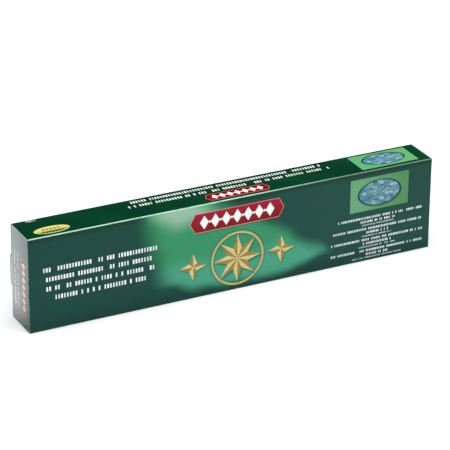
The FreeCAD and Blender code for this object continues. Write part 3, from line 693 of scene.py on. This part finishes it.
# ---------------------------------------------------------------- wood

ARMS = ("cross_arm", "swivel_arm")
HEART_BEHIND, HEART_BELOW = 14.0, 9.0
RING_DENSITY = 0.55
DISC_PLIES = 5


def wood_grain(w, stretch, pale, mid, dark):
    """Long grain: drawn-out noise for the growth lines and a finer one for the pores."""
    grain = w.stretch(w.place, stretch)
    lines = w.noise(w.warp(grain, 0.6, 0.8), 0.9, 2.0)
    lines = w.apart(w.fraction(w.times(lines, 9.0)), 0.5)
    colour = w.mix(w.remap(lines, 0.0, 0.5), paint(mid), paint(pale))
    cloud = w.noise(w.place, 0.02, 3.0)
    colour = w.mix(w.remap(cloud, 0.35, 0.7, 0.0, 0.4), colour, paint(mid))
    pores = w.remap(w.drawn(grain, (1.6, 6.0, 6.0)), 0.58, 0.74)
    return w.mix(w.times(pores, 0.55), colour, paint(dark)), lines, pores


def end_grain(w, y, z, middle_y, middle_z, colour, dark):
    """Growth rings on a sawn end, round a heart that lies outside the bar."""
    off_y = w.minus(y, middle_y + HEART_BEHIND)
    off_z = w.minus(z, middle_z - HEART_BELOW)
    rings = w.fraction(w.times(w.length(off_y, off_z), RING_DENSITY))
    return w.mix(w.times(rings, 0.6), paint(colour), paint(dark))


def bar_middle(arm):
    """The middle of a bar's section, (y, z) in millimetres."""
    low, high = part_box(arm + "_bar")
    return (low.y + high.y) * TO_MM / 2, (low.z + high.z) * TO_MM / 2


def make_bar_wood(arm):
    """A planed and lacquered bar, with its rings showing on the ends."""
    w = Finish(arm + "_lacquered_wood", 0.45, coat=0.35, coat_roughness=0.18)
    middle_y, middle_z = bar_middle(arm)
    # the grain is read at a shifted height, so that the two bars differ
    shift = middle_z * 3.0
    w.place = w.vector("ADD", w.place, (0.0, 0.0, shift))
    _, y, z = w.split(w.place)
    colour, lines, pores = wood_grain(w, (0.03, 0.5, 0.5), "ddc08c", "cda469", "8f6a38")
    rings = end_grain(w, y, z, middle_y, middle_z + shift, "c79c62", "94703f")
    colour = w.mix(w.above(w.absolute(w.facing()[0]), END_ON), colour, rings)
    height = w.minus(w.times(lines, 0.25), pores)
    return w.done(colour, w.scaled(pores, 0.25, 0.36), height, 0.08, 0.6)


def make_button_wood(arm):
    """A turned button: grain along its length, and faint rings left by the lathe."""
    w = Finish(arm + "_turned_wood", 0.5, coat=0.5, coat_roughness=0.15)
    middle_y, middle_z = bar_middle(arm)
    x, y, z = w.split(w.place)
    dark = "7f5929"
    colour, _, pores = wood_grain(w, (0.05, 0.42, 0.42), "d8b47c", "c08f52", dark)
    rings = end_grain(w, y, z, middle_y, middle_z, "cfa469", "a67b45")
    rings = w.mix(w.remap(w.noise(w.place, 2.2, 2.0), 0.5, 0.75, 0.0, 0.35), rings, paint(dark))
    colour = w.mix(w.remap(w.absolute(w.facing()[0]), 0.15, 0.45), colour, rings)
    radius = w.length(w.minus(y, middle_y), w.minus(z, middle_z))
    turned = w.math("SINE", w.times(w.plus(radius, x), 9.0))
    colour = w.mix(w.remap(turned, 0.2, 1.0, 0.0, 0.12), colour, paint(dark))
    height = w.minus(w.times(turned, 0.12), w.times(pores, 0.6))
    return w.done(colour, w.scaled(pores, 0.2, 0.3), height, 0.08, 0.6)


def make_dowel_wood():
    """Plain beech, sanded but not lacquered."""
    w = Finish("beech_dowel_wood", 0.3)
    colour, _, pores = wood_grain(w, (0.2, 1.4, 1.4), "d6b78c", "c39c6c", "8c6338")
    return w.done(colour, 0.62, pores, 0.06, 0.5)


def make_disc_wood():
    """Birch plywood: face veneer on the flats, and its plies round the rim."""
    w = Finish("plywood_disc", 0.4, coat=0.2, coat_roughness=0.25)
    colour, lines, pores = wood_grain(w, (0.035, 0.3, 0.3), "e0c898", "d2b17a", "96733f")
    _, y, _ = w.split(w.place)
    low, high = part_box("swivel_base_disc")
    layer = w.times(w.minus(y, low.y * TO_MM), DISC_PLIES / ((high.y - low.y) * TO_MM))
    odd = w.above(w.fraction(w.times(layer, 0.5)), 0.5)
    ply = w.mix(odd, paint("d9bd88"), paint("a97c48"))
    streak = w.drawn(w.place, (0.6, 6.0, 0.6))
    ply = w.mix(w.remap(streak, 0.4, 0.7, 0.0, 0.5), ply, paint("80592f"))
    rim = w.below(w.absolute(w.facing()[1]), 0.6)
    height = w.minus(w.times(lines, 0.3), pores)
    return w.done(w.mix(rim, colour, ply), w.scaled(pores, 0.2, 0.42), height, 0.06, 0.5)


# ---------------------------------------------------------------- metal, plastic, rubber, paper


def make_plate_steel():
    """Zinc plated sheet: cloudy crystal patches and fine rolling lines."""
    w = Finish("zinc_plated_sheet", metallic=1.0)
    crystals = w.node("ShaderNodeTexVoronoi", {"Vector": w.warp(w.place, 0.3, 1.2), "Scale": 0.6})
    cloud = w.times(w.noise(w.place, 0.3, 3.0), 0.5)
    patch = w.scaled(w.split(crystals.outputs["Color"])[0], 0.5, cloud)
    colour = w.mix(patch, paint("b2b7b9"), paint("c6c9c9"))
    tint = w.remap(w.noise(w.place, 0.05, 2.0), 0.5, 0.7, 0.0, 0.3)
    rolled = w.drawn(w.place, (0.2, 4.0, 8.0))
    roughness = w.scaled(patch, 0.1, w.scaled(rolled, 0.12, 0.27))
    return w.done(w.mix(tint, colour, paint("c8bd96")), roughness, rolled, 0.01, 0.4)


def make_bright_steel():
    """Polished steel with hair scratches."""
    w = Finish("polished_steel", metallic=1.0)
    scratch = w.noise(w.stretch(w.place, (0.5, 5.0, 1.0)), 2.0, 4.0)
    colour = w.mix(scratch, paint("cfd2d4"), paint("e3e4e3"))
    return w.done(colour, w.scaled(scratch, 0.14, 0.06), scratch, 0.004, 0.3)


def make_screw_steel():
    """Yellow zinc plated screws."""
    w = Finish("yellow_zinc_screws", metallic=1.0)
    tint = w.noise(w.place, 0.5, 3.0)
    colour = w.mix(w.remap(tint, 0.35, 0.65), paint("c9b070"), paint("b9b6a4"))
    return w.done(colour, w.scaled(tint, 0.2, 0.2), tint, 0.01, 0.3)


def make_cage_plastic():
    """Moulded nylon with a faint flow pattern."""
    w = Finish("moulded_nylon_cage")
    w.fill(w.shader, {"Subsurface Weight": 0.15, "Subsurface Scale": 0.6 * MM})
    flow = w.noise(w.warp(w.place, 0.15, 6.0), 0.12, 2.0)
    colour = w.mix(flow, paint("dfdccf"), paint("efece2"))
    grain = w.noise(w.place, 3.0, 2.0)
    return w.done(colour, w.scaled(grain, 0.15, 0.38), grain, 0.02, 0.4)


def make_pad_rubber():
    """Dark grippy rubber with a fine matt skin."""
    w = Finish("matt_pad_rubber", 0.35)
    bloom = w.remap(w.noise(w.place, 0.3, 3.0), 0.4, 0.7)
    skin = w.noise(w.place, 5.0, 2.0)
    colour = w.mix(bloom, paint("1b1b1b"), paint("302f2d"))
    return w.done(colour, w.scaled(skin, 0.15, 0.72), skin, 0.04, 0.6)


def make_leaflet_paper():
    """White paper with grey tile rows and a figure of three drawn rings."""
    w = Finish("printed_leaflet_paper", 0.25)
    x, _, z = w.split(w.place)
    low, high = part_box("instruction_leaflet")
    spot = w.join(w.minus(x, low.x * TO_MM), w.minus(high.z * TO_MM, z))
    paper = w.mix(w.noise(w.place, 0.06, 4.0), paint("e9e8e2"), paint("f4f3ee"))
    p = Print(w, spot, paper)
    grey = paint("4b4b4d")
    p.tiles((37.0, 37.0), half_length=29.0, rows=10, leading=6.0, tall=0.9, pitch=1.5, ragged=0.25,
            colour=grey)
    away = p.vector("DISTANCE", spot, (111.0, 37.0, 0.0))
    for radius in (24.0, 17.0, 6.0):
        p.lay(p.fall(p.apart(away, radius), 0.2, 0.4), grey)
    return w.done(p.ground, 0.8, w.noise(w.place, 2.5, 3.0), 0.03, 0.5)


# ---------------------------------------------------------------- countersunk screws

SCREW_SIZES = {"Shank diameter": 3.0 * MM, "Core diameter": 2.2 * MM, "Head diameter": 5.6 * MM,
               "Head height": 1.3 * MM, "Thread pitch": 1.15 * MM, "Recess reach": 3.1 * MM,
               "Recess width": 0.62 * MM, "Recess depth": 1.15 * MM}
SCREW_LAND = 0.12 * MM
SCREW_POINT = 0.04 * MM
SCREW_SEED = 7
AROUND, LENGTHWISE, ACROSS_END, PIT_SIDES = 40, 96, 3, 32
TAPER_SHARE, FADE_SHARE, THREAD_START = 0.3, 0.2, 1.6
CREST_HALF, FLANK_FOOT = 0.04, 0.26
PIT_FLOOR, PIT_MOUTH = 0.6, 0.85
SHARP_EDGE = math.radians(38)


def build_screw_tree():
    """Screws on the input's points: a turned blank with a rolled thread and a cross recess."""
    tree = bpy.data.node_groups.new("Countersunk screws", "GeometryNodeTree")
    add_sockets(tree, "INPUT", "Geometry", ["Spots"])
    add_sockets(tree, "INPUT", "Float", ["Length", *SCREW_SIZES, "Lean"])
    add_sockets(tree, "INPUT", "Int", ["Seed"])
    add_sockets(tree, "INPUT", "Material", ["Finish"])
    add_sockets(tree, "OUTPUT", "Geometry", ["Screws"])
    w = Wiring(tree)
    entry = w.node("NodeGroupInput").outputs
    length, head_height = entry["Length"], entry["Head height"]
    reach, width, depth = entry["Recess reach"], entry["Recess width"], entry["Recess depth"]
    # the blank: a unit cylinder whose points are moved onto the screw's skin
    blank = w.node("GeometryNodeMeshCylinder", {
        "Vertices": AROUND, "Side Segments": LENGTHWISE, "Fill Segments": ACROSS_END, "Radius": 1.0,
        "Depth": length})
    x, y, z = w.split(w.node("GeometryNodeInputPosition").outputs[0])
    along = w.scaled(length, 0.5, z)
    left = w.minus(length, along)
    core = w.times(entry["Core diameter"], 0.5)
    shank = w.times(entry["Shank diameter"], 0.5)
    head = w.times(entry["Head diameter"], 0.5)
    cone = w.remap(along, SCREW_LAND, head_height, head, core, "LINEAR")
    taper = w.remap(left, 0.0, w.times(length, TAPER_SHARE), 0.0, 1.0, "LINEAR")
    body = w.larger(w.times(core, taper), SCREW_POINT)
    angle = w.over(w.math("ARCTAN2", y, x), 2 * math.pi)
    phase = w.fraction(w.minus(w.over(along, entry["Thread pitch"]), angle))
    ridge = w.remap(w.apart(phase, 0.5), CREST_HALF, FLANK_FOOT, 1.0, 0.0, "LINEAR")
    rise = w.remap(along, head_height, w.times(head_height, THREAD_START))
    fade = w.remap(left, 0.0, w.times(length, FADE_SHARE))
    height = w.times(w.minus(shank, core), w.times(rise, fade))
    thread = w.scaled(ridge, height, body)
    radius = w.larger(w.times(cone, w.below(along, head_height)), thread)
    turn = w.times(angle, 2 * math.pi)
    out = w.times(radius, w.length(x, y))
    skin = w.join(w.times(out, w.math("COSINE", turn)), w.times(out, w.math("SINE", turn)), along)
    screw = w.node("GeometryNodeSetPosition", {"Geometry": blank.outputs["Mesh"], "Position": skin})

    def combine(operation, inputs, *others):
        item = w.node("GeometryNodeMeshBoolean", inputs, operation=operation, solver="EXACT")
        for other in others:
            tree.links.new(other, item.inputs["Mesh 2"])
        return item.outputs["Mesh"]

    # the cross recess: two crossed blades inside a cone
    twice = w.times(depth, 2.0)
    blades = [w.node("GeometryNodeMeshCube", {"Size": w.join(*sides, twice)}).outputs["Mesh"]
              for sides in ((reach, width), (width, reach))]
    pit = w.node("GeometryNodeMeshCone", {
        "Vertices": PIT_SIDES, "Radius Top": w.times(width, PIT_FLOOR),
        "Radius Bottom": w.times(reach, PIT_MOUTH), "Depth": twice}).outputs["Mesh"]
    sunk = w.join(0.0, 0.0, w.times(depth, -1.0))
    pit = w.node("GeometryNodeTransform", {"Geometry": pit, "Translation": sunk}).outputs[0]
    cutter = combine("INTERSECT", {}, combine("UNION", {}, *blades), pit)
    cut = combine("DIFFERENCE", {"Mesh 1": screw.outputs[0]}, cutter)
    # smooth but for the sharp edges
    smooth = w.node("GeometryNodeSetShadeSmooth", {"Geometry": cut}, domain="FACE").outputs[0]
    bend = w.node("GeometryNodeInputMeshEdgeAngle").outputs["Unsigned Angle"]
    edges = {"Geometry": smooth, "Selection": w.above(bend, SHARP_EDGE), "Shade Smooth": False}
    sharp = w.node("GeometryNodeSetShadeSmooth", edges, domain="EDGE").outputs[0]
    # one screw on every spot, each stopped at its own angle
    lean = w.node("FunctionNodeEulerToRotation", {0: w.join(entry["Lean"], 0.0, 0.0)}).outputs[0]
    placed = w.node("GeometryNodeInstanceOnPoints", {
        "Points": entry["Spots"], "Instance": sharp, "Rotation": lean}).outputs[0]
    spin = w.node("FunctionNodeRandomValue", {"Seed": entry["Seed"], 2: 0.0, 3: 2 * math.pi},
                  data_type="FLOAT").outputs[1]
    own_turn = w.node("FunctionNodeEulerToRotation", {0: w.join(0.0, 0.0, spin)}).outputs[0]
    placed = w.node("GeometryNodeRotateInstances", {
        "Instances": placed, "Rotation": own_turn}).outputs[0]
    real = w.node("GeometryNodeRealizeInstances", {"Geometry": placed}).outputs[0]
    real = w.node("GeometryNodeSetMaterial", {"Geometry": real, "Material": entry["Finish"]})
    w.node("NodeGroupOutput", {"Screws": real.outputs[0]})
    return tree


def add_screws(tree, node, body, tips_back, finish):
    """Puts detailed screws where the node has its plain ones."""
    low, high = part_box(node)
    head = SCREW_SIZES["Head diameter"]
    inset = head / 2
    head_y = low.y if tips_back else high.y
    two_rows = high.z - low.z > head * 1.5
    levels = (low.z + inset, high.z - inset) if two_rows else ((low.z + high.z) / 2,)
    spots = [(side, head_y, level) for side in (low.x + inset, high.x - inset) for level in levels]
    mesh = bpy.data.meshes.new(node + "_spots")
    mesh.from_pydata(spots, [], [])
    piece = bpy.data.objects.new("threaded_" + node, mesh)
    bpy.context.scene.collection.objects.link(piece)
    modifier = piece.modifiers.new("screws", "NODES")
    modifier.node_group = tree
    values = {"Length": high.y - low.y, "Lean": math.radians(-90 if tips_back else 90),
              "Seed": SCREW_SEED, "Finish": finish, **SCREW_SIZES}
    for item in tree.interface.items_tree:
        if item.item_type == "SOCKET" and item.name in values:
            modifier[item.identifier] = values[item.name]
    seen = piece.evaluated_get(bpy.context.evaluated_depsgraph_get())
    made = bpy.data.meshes.new_from_object(seen)
    piece.modifiers.clear()
    made.materials.clear()
    made.materials.append(finish)
    made.polygons.foreach_set("material_index", [0] * len(made.polygons))
    piece.data = made
    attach(piece, body)
    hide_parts(node)


# ---------------------------------------------------------------- every node gets its finish


def dress(material, *names):
    """Gives the named nodes the material."""
    for name in names:
        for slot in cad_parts[name].material_slots:
            slot.material = material


dress(make_sleeve_card(), "carton_sleeve")
dress(make_closure_card(), "left_closure_panel", "right_closure_panel")
dress(make_flap_card("dust_flap_card", from_level_fold, 6.4), "left_top_dust_flap",
      "left_bottom_dust_flap", "right_top_dust_flap", "right_bottom_dust_flap")
dress(make_flap_card("tuck_flap_card", from_end_fold, 7.0), "left_tuck_flap", "right_tuck_flap")
for arm in ARMS:
    dress(make_bar_wood(arm), arm + "_bar")
    dress(make_button_wood(arm), arm + "_left_button", arm + "_right_button")
dress(make_dowel_wood(), "button_dowels")
dress(make_disc_wood(), "swivel_base_disc")
dress(make_plate_steel(), "swivel_upper_plate", "swivel_lower_plate")
dress(make_bright_steel(), "swivel_balls", "swivel_rivet")
screw_steel = make_screw_steel()
dress(screw_steel, "arm_screws", "base_screws")
screw_tree = build_screw_tree()
add_screws(screw_tree, "arm_screws", "carton", False, screw_steel)
add_screws(screw_tree, "base_screws", "swivel_base", True, screw_steel)
dress(make_cage_plastic(), "swivel_ball_cage")
dress(make_pad_rubber(), "foot_pads")
dress(make_leaflet_paper(), "instruction_leaflet")

# ---------------------------------------------------------------- camera, floor and light

CAMERA_SPOT = Vector((-0.96506, -1.88705, 1.04673))
CAMERA_AIM = Vector((-0.00224, 0.0, 0.05722))
CAMERA_ROLL = math.radians(0.5)
CAMERA_LENS = 204.7
SENSOR_WIDTH = 36.0
CLIP_END = 50.0
FLOOR_HALF = 8.0


def aim_at(item, spot, target, roll=0.0):
    """Places a camera or light so that it looks from spot at target."""
    turn = (target - spot).to_track_quat("-Z", "Y").to_matrix().to_4x4()
    item.matrix_world = Matrix.Translation(spot) @ turn @ Matrix.Rotation(roll, 4, "Z")


def add_camera():
    camera = bpy.data.objects.new("camera", bpy.data.cameras.new("camera"))
    bpy.context.scene.collection.objects.link(camera)
    camera.data.sensor_width = SENSOR_WIDTH
    camera.data.lens = CAMERA_LENS
    camera.data.clip_end = CLIP_END
    aim_at(camera, CAMERA_SPOT, CAMERA_AIM, CAMERA_ROLL)
    bpy.context.scene.camera = camera


def add_floor():
    mesh = bpy.data.meshes.new("studio_floor")
    ways = ((-1, -1), (1, -1), (1, 1), (-1, 1))
    corners = [(x * FLOOR_HALF, y * FLOOR_HALF, 0.0) for x, y in ways]
    mesh.from_pydata(corners, [], [(0, 1, 2, 3)])
    floor = bpy.data.objects.new("studio_floor", mesh)
    bpy.context.scene.collection.objects.link(floor)
    w = Finish("pale_floor", 0.0)
    colour = w.mix(w.noise(w.place, 0.004, 2.0), paint("f3f3f4"), paint("f6f6f7"))
    floor.data.materials.append(w.done(colour, 0.9))


def add_light(name, kind, spot, target, energy, **settings):
    light = bpy.data.objects.new(name, bpy.data.lights.new(name, kind))
    bpy.context.scene.collection.objects.link(light)
    light.data.energy = energy
    for key, value in settings.items():
        setattr(light.data, key, value)
    aim_at(light, Vector(spot), Vector(target))
    light.visible_camera = False
    return light


# Glow cards lie on the floor behind the left end, along the line that the front fold mirrors. Each
# starts further out than the last, so that together they have a soft near corner.
CARD_COUNT = 5
CARD_RADIANCE = 3.1 / CARD_COUNT
CARD_TINT = (1.0, 0.91, 0.965)
CARD_ALONG = Vector((-0.374, 0.9275, 0.0))
CARD_ACROSS = Vector((0.9275, 0.374, 0.0))
CARD_START, CARD_START_STEP, CARD_END = 0.018, 0.011, 0.27
CARD_NEAR, CARD_NEAR_STEP, CARD_FAR = 0.0005, 0.0019, 0.04
CARD_LIFT = 0.00007


def add_end_card(step):
    """One glow card. Each lies a little higher than the last."""
    corner = Vector((CARTON_LEFT, CARTON_FRONT, (step + 1) * CARD_LIFT))
    start = CARD_START + step * CARD_START_STEP
    near = CARD_NEAR + step * CARD_NEAR_STEP
    wide, long = CARD_FAR - near, CARD_END - start
    middle = corner + CARD_ALONG * (start + CARD_END) / 2 + CARD_ACROSS * (near + CARD_FAR) / 2
    power = CARD_RADIANCE * math.pi * wide * long
    card = add_light(f"end_card_{step}", "AREA", middle, middle, power, shape="RECTANGLE",
                     size=wide, size_y=long, color=CARD_TINT)
    axes = Matrix((CARD_ACROSS, CARD_ALONG, CARD_ACROSS.cross(CARD_ALONG))).transposed().to_4x4()
    card.matrix_world = Matrix.Translation(middle) @ axes @ Matrix.Rotation(math.pi, 4, "Y")
    card.visible_diffuse = False


def add_lights():
    """One wide soft sky from above, a soft box for the folds, and cards for the left end."""
    add_light("soft_sky", "SUN", (-0.3, -0.42, 2.6), (0.0, 0.0, 0.0), 4.0, angle=math.radians(75))
    add_light("fold_box", "AREA", (0.82, -0.84, 1.66), (0.0, 0.0, 0.05), 7.0, shape="SQUARE",
              size=0.5)
    for step in range(CARD_COUNT):
        add_end_card(step)


def add_world():
    """Pale near the horizon, dim higher up, so that the top panel stays deep green."""
    world = bpy.data.worlds.new("studio")
    bpy.context.scene.world = world
    world.use_nodes = True
    world.node_tree.nodes.clear()
    w = Wiring(world.node_tree)
    direction = w.node("ShaderNodeTexCoord").outputs["Generated"]
    rise = w.remap(w.absolute(w.split(direction)[2]), 0.1, 0.24)
    colour = w.mix(rise, (0.98, 0.98, 0.99, 1.0), (0.02, 0.02, 0.021, 1.0))
    sky = w.node("ShaderNodeBackground", {"Color": colour, "Strength": 1.0})
    w.node("ShaderNodeOutputWorld", {"Surface": sky.outputs[0]})


add_camera()
add_floor()
add_lights()
add_world()
bpy.context.scene.view_settings.view_transform = "Standard"
